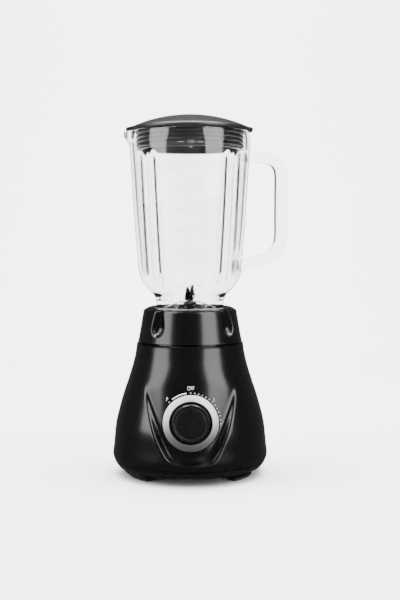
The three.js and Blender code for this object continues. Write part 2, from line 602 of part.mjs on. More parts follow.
function jugHandle() {
  const route = [[57, 341.4], [66, 341.4], [76, 341.2], [87, 338.6], [94.6, 331.6], [97.3, 321], [97.3, 300], [97.3, 275],
    [97.2, 255], [94.6, 243.5], [87.6, 235], [78, 230.2], [66, 227], [54.5, 224.4]];
  const extrudePath = new THREE.CatmullRomCurve3(route.map(([x, z]) => new THREE.Vector3(x, 0, z)), false, 'centripetal');
  const section = roundedRectangle(9, 6.4, 4.6);
  return new THREE.ExtrudeGeometry(section, { steps: 28, bevelEnabled: false, curveSegments: 2, extrudePath });
}

function buildJug() {
  const inside = shapedJug(jugProfile(GLASS_WALL, NECK_FOOT - 1, RIM_HEIGHT + 1));
  const outside = shapedJug(jugProfile(0, NECK_FOOT, RIM_HEIGHT)).add(solid(jugHandle()));
  addPiece('glass_jug', geometryOf(outside.subtract(inside)), GLASS);
}

// ---- Lid, gasket and filler cap --------------------------------------------------------------
const domeHeight = (radius) => DOME_TOP - DOME_RADIUS + Math.sqrt(DOME_RADIUS ** 2 - radius ** 2);

function domeArc(from, to, count, drop) {
  return Array.from({ length: count + 1 }, (_, i) => {
    const radius = from + ((to - from) * i) / count;
    return [radius, domeHeight(radius) - drop];
  });
}

const FILLER_STEP = domeHeight(FILLER_RADIUS) - 3.2;
const PLUG_FOOT = 348.6;
const GASKET_FOOT = 348.2;
const GASKET_INSIDE = 54.4;
const RIB_PITCH = 4.4;
const CAP_UNDERSIDE = 376.2;
const CAP_DISH = 379;

function lidCover() {
  const plug = [[51.5, PLUG_FOOT], [54, PLUG_FOOT], [54, FLANGE_LOW]];
  const flange = [[LID_RADIUS - 0.8, FLANGE_LOW], [LID_RADIUS, 368.8], [LID_RADIUS, 371.2]];
  const filler = [[FILLER_RADIUS, FILLER_STEP], [CHUTE_RADIUS, FILLER_STEP], [CHUTE_RADIUS, 361], [FILLER_RADIUS, 361]];
  const under = [[FILLER_RADIUS, FILLER_STEP - 3.4], ...domeArc(28, 50, 2, 3.2), [51.5, 372], [51.5, PLUG_FOOT]];
  let body = solid(turned([...plug, ...flange, ...domeArc(61.6, FILLER_RADIUS, 4, 0), ...filler, ...under]));
  const tab = new THREE.Shape(points2([[54, -13], [64, -12], [67, -9], [67.6, 0], [67, 9], [64, 12], [54, 13]]));
  const beak = new THREE.Shape(points2([[-54, 24], [-62, 17], [-67, 9], [-68.6, 0], [-67, -9], [-62, -17], [-54, -24]]));
  for (const shape of [tab, beak]) body = body.add(solid(prism(shape, FLANGE_LOW, 371.6)));
  return geometryOf(body);
}

function lidGasket() {
  const outside = [[57, GASKET_FOOT]];
  for (let rib = 0; rib < 4; rib += 1) {
    const height = GASKET_FOOT + 1.2 + rib * RIB_PITCH;
    outside.push([56, height], [58.2, height + RIB_PITCH / 2]);
  }
  outside.push([56, FLANGE_LOW - GAP], [GASKET_INSIDE, FLANGE_LOW - GAP], [GASKET_INSIDE, GASKET_FOOT], [57, GASKET_FOOT]);
  return turned(outside, 36);
}

function fillerCap() {
  const rebate = FILLER_STEP + GAP;
  const skirt = [[18.4, CAP_UNDERSIDE], [18.4, 364], [20.9, 364], [20.9, rebate], [FILLER_RADIUS - GAP, rebate]];
  const top = domeArc(FILLER_RADIUS - GAP, 15, 1, 0);
  const blank = turned([[0, CAP_UNDERSIDE], ...skirt, ...top, [13.6, CAP_DISH + 0.6], [0, CAP_DISH]], 32);
  const grip = box([-14.2, -2.6, CAP_DISH - 0.8], [14.2, 2.6, DOME_TOP]);
  return geometryOf(joined(blank, grip));
}

function buildLid() {
  addPiece('lid_cover', lidCover(), SATIN_BLACK);
  addPiece('lid_gasket', lidGasket(), RUBBER);
  addPiece('filler_cap', fillerCap(), SATIN_BLACK);
}

buildBase();
buildControls();
buildMotor();
buildRotor();
buildCollar();
buildBlades();
buildJug();
buildLid();

// The motor axis is moved so that the box of the whole object is centred on the origin.
model.updateMatrixWorld(true);
const bounds = new THREE.Box3().setFromObject(model, true);
const middle = bounds.getCenter(new THREE.Vector3());
model.position.set(-middle.x, -middle.y, -bounds.min.z);

export default model;
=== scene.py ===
"""Looks of a countertop blender, built as a Blender add-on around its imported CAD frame."""

import math

import bpy
from bpy.props import FloatProperty, FloatVectorProperty, IntProperty, PointerProperty
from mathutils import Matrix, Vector


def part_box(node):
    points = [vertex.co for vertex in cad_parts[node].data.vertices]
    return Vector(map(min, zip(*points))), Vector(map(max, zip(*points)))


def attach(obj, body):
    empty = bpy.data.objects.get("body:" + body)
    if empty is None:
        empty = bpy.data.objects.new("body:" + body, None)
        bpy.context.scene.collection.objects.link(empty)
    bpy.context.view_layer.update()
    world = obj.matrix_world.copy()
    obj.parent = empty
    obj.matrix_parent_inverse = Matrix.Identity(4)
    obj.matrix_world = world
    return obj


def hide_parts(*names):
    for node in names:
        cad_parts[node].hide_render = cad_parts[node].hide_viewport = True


bl_info = {
    "name": "Countertop Blender",
    "version": (1, 0, 0),
    "blender": (4, 5, 0),
    "location": "View3D > Sidebar > Blender",
    "description": "Builds the visible pieces of a countertop blender around its CAD frame",
    "category": "Add Mesh",
}

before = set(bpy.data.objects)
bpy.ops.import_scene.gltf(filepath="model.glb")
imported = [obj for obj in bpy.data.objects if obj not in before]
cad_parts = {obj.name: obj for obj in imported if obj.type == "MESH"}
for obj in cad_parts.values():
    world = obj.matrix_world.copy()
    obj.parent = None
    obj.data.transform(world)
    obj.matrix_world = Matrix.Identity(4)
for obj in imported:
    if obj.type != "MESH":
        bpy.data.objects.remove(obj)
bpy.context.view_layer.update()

# ---- Sizes taken from the frame, and the few that shape the looks, in mm from the motor axis ----
MM = 0.001
SHAFT_LOW, SHAFT_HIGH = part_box("rotor_shaft")
AXIS = Vector(((SHAFT_LOW.x + SHAFT_HIGH.x) / 2, (SHAFT_LOW.y + SHAFT_HIGH.y) / 2, 0))

QUARTERS = (0, 90, 180, 270)
STEPS = 192                 # facets round a turned piece
WALL = 3.0                  # thickness of the housing
SEAM = 141.6                # where the bell ends and the collar's spigot begins
KNOB_DEPTH = 70.6           # knob's middle: this far in front of the axis, at this height, leaning back
KNOB_HEIGHT = 65.0
KNOB_TILT = math.radians(9)
PANEL_RADIUS = 77.0         # curve of the knob panel
FLARE_SLOPE = 0.85          # how steeply the recess's wall runs in
RECESS_DEPTH = 50.0         # how far in front of the axis that wall ends
WALL_SHIFT = 2.3            # how far its inside lies behind it, for each mm of wall

FOOT_ANGLES = (30, 150, 210, 330)
FOOT_HALF_ANGLE = 18
FOOT_LOW, FOOT_HIGH = 3, 13
SCREW_CIRCLE = 62.0

SCALLOP_ANGLES = (49.5, 139.5, 229.5, 319.5)
SCALLOP_RADIUS = 10.0       # ball that presses each scallop, and how much it is drawn outwards
SCALLOP_STRETCH = 1.3
SCALLOP_HEIGHT = 160.5
SCALLOP_REACH = 59.5        # the ball's middle, from the axis
LOWER_BLADE = 28.5          # reach of the drooping pair
UPPER_BLADE = 21.5          # reach of the raised pair
UPPER_TURN = 82
SHAFT_TOP = 189.2

GLASS_WALL = 4.6
HANDLE_ACROSS, HANDLE_OUT = 9.0, 6.4
DOME_TOP = 385.6
DOME_RADIUS = 153.5
LID_SKIN = 3.2
FLANGE_LOW = 367.8
FILLER_RADIUS = 24.4
RIB_PITCH = 4.4

BELL = [
    (82.2, 16.4), (83.7, 22), (82.4, 35), (79.9, 57), (73.2, 83), (66.2, 104), (60.4, 124), (57.9, 138),
    (57.6, 141.6),
]
JUG = [
    (36.4, 187.5), (39.6, 193.8), (46.2, 200.2), (51.2, 207.6), (55.2, 217.5), (56.7, 234), (59, 263),
    (61, 293), (62.8, 323), (64.2, 343), (64.6, 356), (63.4, 367.3),
]
HANDLE = [
    (61.6, 341.4), (68, 341.4), (76, 341.2), (87, 338.6), (94.6, 331.6), (97.3, 321), (97.3, 300),
    (97.3, 275), (97.2, 255), (94.6, 243.5), (87.6, 235), (78, 230.2), (66, 227), (54.5, 224.4),
]
RECESS = [(14, 51), (18, 54), (25, 63), (34, 75), (47, 92), (62, 114)]
GRADUATIONS = {"1500": 351.5, "1250": 329.2, "1000": 308.7, "750": 284, "500": 261, "250": 236}


# ---- Small sums ---------------------------------------------------------------------------------
def at(x, y, z):
    """A place given in mm from the motor axis, as a place in the frame."""
    return AXIS + Vector((x, y, z)) * MM


def smooth(value, start, end):
    """0 before start, 1 after end, and an even S between them."""
    part = min(max((value - start) / (end - start), 0), 1)
    return part * part * (3 - 2 * part)


def soft_max(first, second, reach):
    """The larger of two numbers, rounded off where they are within reach of each other."""
    overlap = max(reach - abs(first - second), 0)
    return max(first, second) + overlap * overlap / (4 * reach)


def soft_min(first, second, reach):
    """The smaller of two numbers, rounded off in the same way."""
    return -soft_max(-first, -second, reach)


def spline(p, q, r, s, t):
    """One measure of the curve from q to r, with p before them and s after."""
    square = (2 * p - 5 * q + 4 * r - s) * t * t
    cube = (3 * q - p - 3 * r + s) * t**3
    return 0.5 * (2 * q + (r - p) * t + square + cube)


def curve_through(points, pieces):
    """Points along a smooth curve through the given ones, with that many pieces between each two."""
    ends = [points[0], *points, points[-1]]
    found = []
    for four in zip(ends, ends[1:], ends[2:], ends[3:]):
        for step in range(pieces):
            found.append(tuple(spline(*measures, step / pieces) for measures in zip(*four)))
    return [*found, tuple(points[-1])]


def radius_at(outline, z):
    """An outline's radius at a height."""
    for (r0, z0), (r1, z1) in zip(outline, outline[1:]):
        if z <= z1:
            return r0 + (r1 - r0) * max(z - z0, 0) / (z1 - z0)
    return outline[-1][0]


def dome_height(radius):
    """Height of the lid's dome at a distance from the axis."""
    return DOME_TOP - DOME_RADIUS + math.sqrt(DOME_RADIUS**2 - radius**2)


def dome_arc(start, end, count, drop=0):
    """Points along the dome from one radius to another, or along its underside."""
    radii = [start + (end - start) * i / count for i in range(count + 1)]
    return [(radius, dome_height(radius) - drop) for radius in radii]


# ---- Modelling steps ----------------------------------------------------------------------------
def started(name):
    """Names the object just added, applies its transform and opens it for editing."""
    obj = bpy.context.object
    obj.name = name
    obj.data.name = name
    bpy.ops.object.transform_apply(location=True, rotation=True, scale=True)
    if obj.type == "MESH":
        bpy.ops.object.mode_set(mode="EDIT")
        bpy.ops.mesh.select_all(action="SELECT")
    return obj


def closed_up(obj):
    """Joins seams, turns the faces outwards and leaves edit mode."""
    bpy.ops.mesh.select_all(action="SELECT")
    bpy.ops.mesh.remove_doubles(threshold=1e-6)
    bpy.ops.mesh.fill_holes(sides=0)
    bpy.ops.mesh.normals_make_consistent(inside=False)
    bpy.ops.object.mode_set(mode="OBJECT")
    return obj


def chosen(*objs):
    """Selects these objects alone and makes the first one active."""
    bpy.ops.object.select_all(action="DESELECT")
    for obj in objs:
        obj.select_set(True)
    bpy.context.view_layer.objects.active = objs[0]


def turned(name, profile, steps=STEPS, loop=True, centre=None):
    """A turned piece: a circle drawn out along (radius, height) points, then joined up or capped."""
    middle = AXIS if centre is None else Vector(centre)
    radius, height = profile[0]
    place = middle + Vector((0, 0, height * MM))
    bpy.ops.mesh.primitive_circle_add(vertices=steps, radius=radius * MM, location=place)
    obj = started(name)
    ends = list(profile[1:]) + ([profile[0]] if loop else [])
    for (r0, z0), (r1, z1) in zip(profile, ends):
        bpy.ops.mesh.extrude_region_move(TRANSFORM_OT_translate={"value": (0, 0, (z1 - z0) * MM)})
        place = middle + Vector((0, 0, z1 * MM))
        bpy.ops.transform.resize(value=(r1 / r0, r1 / r0, 1), center_override=place)
    return closed_up(obj)


def block(name, low, high):
    """A box between two corners."""
    size = [(b - a) * MM for a, b in zip(low, high)]
    middle = at(*[(a + b) / 2 for a, b in zip(low, high)])
    bpy.ops.mesh.primitive_cube_add(size=1, location=middle, scale=size)
    return closed_up(started(name))


def cylinder(name, radius, low, high, x=0, y=0, steps=32):
    """An upright cylinder between two heights."""
    middle = at(x, y, (low + high) / 2)
    depth = (high - low) * MM
    bpy.ops.mesh.primitive_cylinder_add(vertices=steps, radius=radius * MM, depth=depth, location=middle)
    return closed_up(started(name))


def warp(obj, shape):
    """Moves each corner of obj to shape(x, y, z), in mm from the motor axis."""
    for corner in obj.data.vertices:
        x, y, z = (corner.co - AXIS) / MM
        corner.co = at(*shape(x, y, z))
    obj.data.update()
    return obj


def applied(obj, kind, **settings):
    """Adds one modifier, sets it and applies it."""
    chosen(obj)
    modifier = obj.modifiers.new(kind.title(), kind)
    for name, value in settings.items():
        setattr(modifier, name, value)
    bpy.ops.object.modifier_apply(modifier=modifier.name)
    return obj


def rounded(obj, width, segments=3, angle=35):
    """Rounds the edges that turn by more than the angle."""
    return applied(
        obj, "BEVEL", width=width * MM, segments=segments, limit_method="ANGLE",
        angle_limit=math.radians(angle), use_clamp_overlap=True,
    )


def merged(obj, *others, operation="UNION"):
    """Joins or cuts obj with the other pieces, which are used up."""
    for other in others:
        applied(obj, "BOOLEAN", object=other, operation=operation, solver="EXACT")
        bpy.data.objects.remove(other)
    return obj


def cut(obj, *others):
    """Cuts the other pieces out of obj."""
    return merged(obj, *others, operation="DIFFERENCE")


def joined(name, objs):
    """Makes one object of several that don't touch."""
    chosen(*objs)
    if len(objs) > 1:
        bpy.ops.object.join()
    obj = bpy.context.object
    obj.name = name
    obj.data.name = name
    return obj


def turned_about(obj, degrees):
    """Turns a piece about the motor axis."""
    chosen(obj)
    bpy.ops.object.mode_set(mode="EDIT")
    bpy.ops.mesh.select_all(action="SELECT")
    bpy.ops.transform.rotate(value=math.radians(-degrees), orient_axis="Z", center_override=AXIS)
    bpy.ops.object.mode_set(mode="OBJECT")
    return obj


def on_panel(obj):
    """Moves a piece laid out about the world's Z axis onto the knob panel, facing out."""
    chosen(obj)
    obj.rotation_euler = (math.pi / 2 - KNOB_TILT, 0, 0)
    obj.location = at(0, -KNOB_DEPTH, KNOB_HEIGHT)
    bpy.ops.object.transform_apply(location=True, rotation=True, scale=True)
    return obj


def finished(obj, material, body, nodes=(), angle=35):
    """Gives a piece its shading, finish and body, and hides the CAD nodes it stands for."""
    chosen(obj)
    bpy.ops.object.shade_smooth_by_angle(angle=math.radians(angle))
    obj.data.materials.clear()
    obj.data.materials.append(material)
    if nodes:
        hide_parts(*nodes)
    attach(obj, body)
    return obj


def shown(node, material):
    """Gives a carried-over CAD node its finish."""
    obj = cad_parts[node]
    obj.data.materials.clear()
    obj.data.materials.append(material)


# ---- Finishes -----------------------------------------------------------------------------------
class Wire:
    """A shader socket that sums can be written with."""

    def __init__(self, finish, socket):
        self.finish = finish
        self.socket = socket

    def __add__(self, other):
        return self.finish.math("ADD", self, other)

    def __radd__(self, other):
        return self.finish.math("ADD", other, self)

    def __sub__(self, other):
        return self.finish.math("SUBTRACT", self, other)

    def __rsub__(self, other):
        return self.finish.math("SUBTRACT", other, self)

    def __mul__(self, other):
        return self.finish.math("MULTIPLY", self, other)

    def __rmul__(self, other):
        return self.finish.math("MULTIPLY", other, self)


class Finish:
    """One procedural material and the few ways its nodes are made."""

    def __init__(self, name, constants):
        self.material = bpy.data.materials.new(name)
        self.material.use_nodes = True
        self.tree = self.material.node_tree
        self.shader = next(n for n in self.tree.nodes if n.type == "BSDF_PRINCIPLED")
        for socket, value in constants.items():
            self.shader.inputs[socket].default_value = value

    def node(self, kind, settings=None, values=None):
        """Makes a node: its settings first, then a number, a colour or a wire for each socket."""
        node = self.tree.nodes.new(kind)
        for name, value in (settings or {}).items():
            setattr(node, name, value)
        for socket, value in (values or {}).items():
            self.connect(node.inputs[socket], value)
        return node

    def connect(self, socket, value):
        """Links a wire to a socket, or sets the socket's own value."""
        if isinstance(value, Wire):
            self.tree.links.new(value.socket, socket)
        else:
            socket.default_value = value

    def feed(self, **inputs):
        """Joins wires to the shader; an underscore in a name stands for a space."""
        for name, value in inputs.items():
            self.connect(self.shader.inputs[name.replace("_", " ")], value)
        return self

    def math(self, operation, *values):
        """One Math node on wires or numbers."""
        node = self.node("ShaderNodeMath", {"operation": operation}, dict(enumerate(values)))
        return Wire(self, node.outputs[0])

    def object_place(self):
        """Plain Object coordinates."""
        return Wire(self, self.node("ShaderNodeTexCoord").outputs["Object"])

    def part(self, vector, index):
        """One of a vector's three measures."""
        return Wire(self, self.node("ShaderNodeSeparateXYZ", values={0: vector}).outputs[index])

    def place(self, stretch=(1, 1, 1)):
        """Object coordinates, stretched along each axis."""
        values = {0: self.object_place(), 1: stretch}
        node = self.node("ShaderNodeVectorMath", {"operation": "MULTIPLY"}, values)
        return Wire(self, node.outputs[0])

    def about_knob(self):
        """Distance from the knob's axis and the turn about it, for marks left by a lathe."""
        values = {
            "Vector": self.object_place(),
            "Location": at(0, -KNOB_DEPTH, KNOB_HEIGHT),
            "Rotation": (math.pi / 2 - KNOB_TILT, 0, 0),
        }
        local = Wire(self, self.node("ShaderNodeMapping", {"vector_type": "TEXTURE"}, values).outputs[0])
        x, y = self.part(local, 0), self.part(local, 1)
        return self.math("SQRT", x * x + y * y), self.math("ARCTAN2", y, x)

    def noise(self, scale, detail=3.0, stretch=(1, 1, 1), vector=None):
        """Even noise from 0 to 1, by default on stretched Object coordinates."""
        values = {"Vector": vector or self.place(stretch), "Scale": scale, "Detail": detail}
        return Wire(self, self.node("ShaderNodeTexNoise", values=values).outputs["Fac"])

    def stripes(self, index, pitch):
        """Even stripes across one of the three axes, with their pitch in mm."""
        return self.math("SINE", self.part(self.place(), index) * (2 * math.pi / (pitch * MM))) * 0.5 + 0.5

    def between(self, factor, first, second):
        """A colour mixed from two by the factor."""
        node = self.node("ShaderNodeMix", {"data_type": "RGBA"}, {"Factor": factor})
        for name, colour in (("A", first), ("B", second)):
            socket = next(s for s in node.inputs if s.name == name and s.type == "RGBA")
            self.connect(socket, (*colour, 1))
        return Wire(self, next(s for s in node.outputs if s.type == "RGBA"))

    def bump(self, height, distance):
        """Raises the surface by the height, times a distance in mm."""
        values = {"Height": height, "Distance": distance * MM, "Strength": 1.0}
        return self.feed(Normal=Wire(self, self.node("ShaderNodeBump", values=values).outputs[0]))


def grey(value):
    """A colour with no hue."""
    return (value, value, value)


def plastic(name, tone, roughness, grain, variation=0.04, level=0.5):
    """Moulded plastic or rubber: dark, with a faint grain and uneven sheen."""
    finish = Finish(name, {"Specular IOR Level": level})
    cloud = finish.noise(35, 4)
    fine = finish.noise(1400, 2)
    finish.feed(
        Base_Color=finish.between(cloud, grey(tone * 0.8), grey(tone * 1.25)),
        Roughness=roughness + (cloud - 0.5) * variation + (fine - 0.5) * variation,
    )
    return finish.bump(fine, grain).material


def metal(name, colour, roughness, stretch=(1, 1, 1), scale=900, depth=0.004, spread=0.16):
    """Bare metal with marks drawn out along one axis."""
    finish = Finish(name, {"Metallic": 1.0})
    marks = finish.noise(scale, 3, stretch)
    cloud = finish.noise(60, 3)
    dark = [part * 0.82 for part in colour]
    finish.feed(Base_Color=finish.between(cloud, dark, colour), Roughness=roughness + (marks - 0.5) * spread)
    return finish.bump(marks, depth).material


def spun_aluminium():
    """Bezel aluminium with fine rings about the knob's axis."""
    finish = Finish("spun_aluminium", {"Metallic": 1.0})
    radius, turn = finish.about_knob()
    rings = finish.node("ShaderNodeCombineXYZ", values={0: radius * 5200, 1: turn * 0.6})
    marks = finish.noise(1.0, 2, vector=Wire(finish, rings.outputs[0]))
    finish.feed(
        Base_Color=finish.between(marks, grey(0.5), grey(0.62)),
        Roughness=0.5 + (marks - 0.5) * 0.1,
    )
    return finish.bump(marks, 0.03).material


def clear_glass():
    """Pressed soda glass: clear, with the slow ripple that a mould leaves."""
    finish = Finish("clear_glass", {"Transmission Weight": 1.0, "IOR": 1.46, "Roughness": 0.0})
    ripple = finish.noise(28, 2, (1, 1, 0.35))
    finish.feed(Base_Color=finish.between(ripple, (0.865, 0.877, 0.873), (0.9, 0.908, 0.905)))
    return finish.bump(ripple, 0.12).material


def soft_seal():
    """Milky silicone."""
    finish = Finish("silicone", {"Transmission Weight": 0.35, "IOR": 1.41})
    cloud = finish.noise(120, 3)
    finish.feed(Base_Color=finish.between(cloud, grey(0.62), grey(0.74)), Roughness=0.42 + cloud * 0.12)
    return finish.bump(cloud, 0.02).material


def stacked_steel():
    """Thin steel sheets stacked along the motor shaft."""
    finish = Finish("lamination_steel", {"Metallic": 1.0})
    sheets = finish.stripes(2, 0.5)
    finish.feed(Base_Color=finish.between(sheets, grey(0.16), grey(0.3)), Roughness=0.42 + sheets * 0.15)
    return finish.bump(sheets, 0.05).material


def wound_copper():
    """Varnished copper wire laid side by side."""
    finish = Finish("wound_copper", {"Metallic": 0.9, "Coat Weight": 0.5, "Coat Roughness": 0.2})
    wires = finish.stripes(1, 0.7)
    cloud = finish.noise(90, 3)
    finish.feed(
        Base_Color=finish.between(cloud * wires, (0.34, 0.13, 0.05), (0.62, 0.27, 0.11)),
        Roughness=0.3 + cloud * 0.1,
    )
    return finish.bump(wires, 0.12).material


def print_ink(name, tone, roughness):
    """Pad-printed ink, a little uneven."""
    finish = Finish(name, {})
    speckle = finish.noise(2500, 2)
    finish.feed(
        Base_Color=finish.between(speckle, grey(tone * 0.86), grey(tone)),
        Roughness=roughness + speckle * 0.1,
    )
    return finish.bump(speckle, 0.004).material


def studio_white():
    """Matt paper for the floor and backdrop."""
    finish = Finish("studio_white", {"Specular IOR Level": 0.2})
    cloud = finish.noise(1.5, 2)
    finish.feed(Base_Color=finish.between(cloud, grey(0.88), grey(0.9)), Roughness=0.75 + cloud * 0.1)
    return finish.material


MAKERS = {
    "gloss_black": lambda: plastic("gloss_black", 0.0012, 0.2, 0.0004, 0.02),
    "satin_black": lambda: plastic("satin_black", 0.0025, 0.27, 0.004, level=0.35),
    "lid_black": lambda: plastic("lid_black", 0.009, 0.36, 0.006),
    "matt_black": lambda: plastic("matt_black", 0.012, 0.5, 0.01),
    "rubber": lambda: plastic("rubber", 0.016, 0.66, 0.02),
    "gasket": lambda: plastic("gasket", 0.004, 0.42, 0.002),
    "carbon": lambda: plastic("carbon", 0.02, 0.6, 0.02),
    "nylon": lambda: plastic("nylon", 0.6, 0.4, 0.01),
    "glass": clear_glass,
    "silicone": soft_seal,
    "bezel": spun_aluminium,
    "polished": lambda: metal("polished_steel", (0.62, 0.63, 0.64), 0.16, (1, 8, 1), 500, 0.002, 0.1),
    "zinc": lambda: metal("zinc_steel", (0.42, 0.43, 0.44), 0.36),
    "cast": lambda: metal("cast_aluminium", (0.5, 0.51, 0.52), 0.5, depth=0.03),
    "brass": lambda: metal("brass", (0.62, 0.44, 0.2), 0.3),
    "sheets": stacked_steel,
    "copper": wound_copper,
    "dial_ink": lambda: print_ink("dial_ink", 0.82, 0.4),
    "scale_ink": lambda: print_ink("scale_ink", 0.55, 0.4),
    "studio": studio_white,
}
made = {}


def finish_of(name):
    """The named finish, made once and shared."""
    if name not in made:
        made[name] = MAKERS[name]()
    return made[name]


# ---- Settings -----------------------------------------------------------------------------------
class HousingSettings(bpy.types.PropertyGroup):
    """Shape of the motor housing."""

    blend: FloatProperty(
        name="Recess blend", description="Rounding where the recess wall meets the panel, in mm", default=5.0,
    )
    ridge: FloatProperty(
        name="Ridge", description="Rounding of the ridge round the recess, in mm", default=1.6,
    )
    edge: FloatProperty(
        name="Edge rounding", description="Rounding of the rims", default=0.6 * MM, unit="LENGTH",
    )


class JugSettings(bpy.types.PropertyGroup):
    """Shape of the glass jug."""

    flute_depth: FloatProperty(
        name="Flute depth", description="How far the four flutes are pressed in", default=2.6 * MM,
        unit="LENGTH",
    )
    spout_reach: FloatProperty(
        name="Spout reach", description="How far the spout is drawn out", default=7.6 * MM, unit="LENGTH",
    )
    steps: IntProperty(name="Facets", description="Facets round the jug", default=224, min=64)


class KnobSettings(bpy.types.PropertyGroup):
    """Shape of the speed knob and its printing."""

    ridges: IntProperty(name="Ridges", description="Grip ridges round the knob", default=48, min=12)
    ridge_depth: FloatProperty(
        name="Ridge depth", description="Depth of the grip ridges", default=0.35 * MM, unit="LENGTH",
    )
    dots: IntProperty(name="Dots", description="Dots between off and full speed", default=13, min=2)
    dial_radius: FloatProperty(
        name="Dial radius", description="Radius of the printed dots", default=31.0 * MM, unit="LENGTH",
    )


class StageSettings(bpy.types.PropertyGroup):
    """Camera and light."""

    lens: FloatProperty(name="Lens", description="Focal length in mm", default=63.0)
    distance: FloatProperty(
        name="Distance", description="Camera's distance from the motor axis", default=1.134, unit="LENGTH",
    )
    height: FloatProperty(name="Height", description="Camera's height", default=0.2565, unit="LENGTH")
    azimuth: FloatProperty(
        name="Azimuth", description="Turn of the camera about the motor axis", default=math.radians(-0.6),
        subtype="ANGLE",
    )
    pitch: FloatProperty(
        name="Pitch", description="How far the camera looks down", default=math.radians(3.5), subtype="ANGLE",
    )
    aim: FloatProperty(
        name="Aim", description="Aim's offset to the right of the axis", default=10.8 * MM, unit="LENGTH",
    )
    tint: FloatVectorProperty(
        name="Surroundings", description="Colour of the unlit room", default=(0.12, 0.12, 0.12),
        subtype="COLOR",
    )


# ---- Housing and base ---------------------------------------------------------------------------
def recess_reach(x, z):
    """How far (x, z) lies outside the recess's outline; negative inside it."""
    reach = RECESS[0][1] - z
    for (x0, z0), (x1, z1) in zip(RECESS, RECESS[1:]):
        length = math.hypot(x1 - x0, z1 - z0)
        side = ((abs(x) - x0) * (z1 - z0) - (z - z0) * (x1 - x0)) / length
        reach = soft_max(reach, side, 5.0)
    return reach


def panel_front(x, z):
    """The knob panel's front by height: a large cylinder that leans back."""
    lean = (z - KNOB_HEIGHT) * math.tan(KNOB_TILT)
    across = min(abs(x), PANEL_RADIUS * 0.95)
    fall = PANEL_RADIUS - math.sqrt(PANEL_RADIUS**2 - across**2)
    return -KNOB_DEPTH + lean + fall / math.cos(KNOB_TILT)


class CTB_OT_housing(bpy.types.Operator):
    """Bell-shaped motor housing with its recessed knob panel."""

    bl_idname = "ctb.housing"
    bl_label = "Motor housing"

    def execute(self, context):
        settings = context.scene.ctb_housing
        outside = curve_through(BELL, 11)
        spigot = [(50, SEAM), (50, 145), (50, 149), (40, 149)]
        well = [(19, 149), (19, 136), (8, 136), (8, 133), (22, 133), (22, 146)]
        inside = [(47, 146), (47, 138.6), *[(r - WALL, z) for r, z in reversed(outside[:-3])]]
        obj = turned("housing_shell", [*outside, *spigot, *well, *inside], 288)
        rounded(obj, settings.edge / MM, 2)

        def shape(x, y, z):
            radius = math.hypot(x, y)
            on_spigot = radius > 30 and z > SEAM + 0.2
            if on_spigot:
                turn = math.atan2(y, x) % (math.pi / 2)
                across = min(turn, math.pi / 2 - turn) * radius
                notch = 3.4 * smooth(-across, -5.6, -4.6) * smooth(radius, 42, 46)
                return x * (1 - notch / radius), y * (1 - notch / radius), z
            on_bell_front = y <= -20 and z <= SEAM + 0.1 and radius >= 50
            if not on_bell_front:
                return x, y, z
            skin = 0 if radius > radius_at(BELL, z) - WALL / 2 else WALL
            wall = -RECESS_DEPTH - recess_reach(x, z) / FLARE_SLOPE + WALL_SHIFT * skin
            floor = soft_min(panel_front(x, z) + skin, wall, settings.blend)
            return x, soft_max(y, floor, settings.ridge), z

        warp(obj, shape)
        finished(obj, finish_of("gloss_black"), "base", ["motor_housing"], 60)
        return {"FINISHED"}


class CTB_OT_knob_seat(bpy.types.Operator):
    """Flat round seat under the bezel."""

    bl_idname = "ctb.knob_seat"
    bl_label = "Knob seat"

    def execute(self, context):
        profile = [(6, -1), (6, -7), (30, -7), (30, 0), (6, 0)]
        obj = on_panel(rounded(turned("knob_seat", profile, 128, centre=(0, 0, 0)), 0.5))
        finished(obj, finish_of("gloss_black"), "base")
        return {"FINISHED"}


def foot_shape(angle):
    """Bends a block of 2 x 2 x 2 units into one foot at the angle."""

    def shape(u, v, w):
        z = (FOOT_HIGH + FOOT_LOW) / 2 + (FOOT_HIGH - FOOT_LOW) / 2 * w
        inner, outer = 54, 68.5 + 8.9 * min(z / 10, 1)
        radius = inner + (outer - inner) * (v + 1) / 2
        turn = math.radians(angle + FOOT_HALF_ANGLE * u)
        return radius * math.cos(turn), radius * math.sin(turn), z

    return shape


class CTB_OT_base_plate(bpy.types.Operator):
    """Base plate with its rim, feet, vents and screw holes."""

    bl_idname = "ctb.base_plate"
    bl_label = "Base plate"

    def execute(self, context):
        rim = [
            (74, 11), (75.4, 9), (77.6, 9), (80.4, 12.4), (82, 15.6),
            (78.6, 15.6), (78.6, 20), (76.6, 20), (76.6, 14),
        ]
        obj = turned("base_plate_skin", rim, loop=False)
        for angle in FOOT_ANGLES:
            foot = block("foot", (-1, -1, -1), (1, 1, 1))
            bpy.ops.object.mode_set(mode="EDIT")
            bpy.ops.mesh.select_all(action="SELECT")
            bpy.ops.mesh.subdivide(number_cuts=11)
            bpy.ops.object.mode_set(mode="OBJECT")
            merged(obj, rounded(warp(foot, foot_shape(angle)), 1.2, 3, 50))
        slots = []
        for row in range(-3, 4):
            reach = 30 - abs(row) * 3
            slots.append(block("slot", (row * 9 - 1.8, -reach, 5), (row * 9 + 1.8, -4, 20)))
            slots.append(block("slot", (row * 9 - 1.8, 4, 5), (row * 9 + 1.8, reach, 20)))
        for turn in map(math.radians, QUARTERS):
            x, y = SCREW_CIRCLE * math.cos(turn), SCREW_CIRCLE * math.sin(turn)
            slots.append(cylinder("bore", 4.5, 5, 13.4, x, y))
        cut(obj, joined("slots", slots))
        rounded(obj, 0.35, 2, 40)
        finished(obj, finish_of("satin_black"), "base", ["base_plate"])
        return {"FINISHED"}


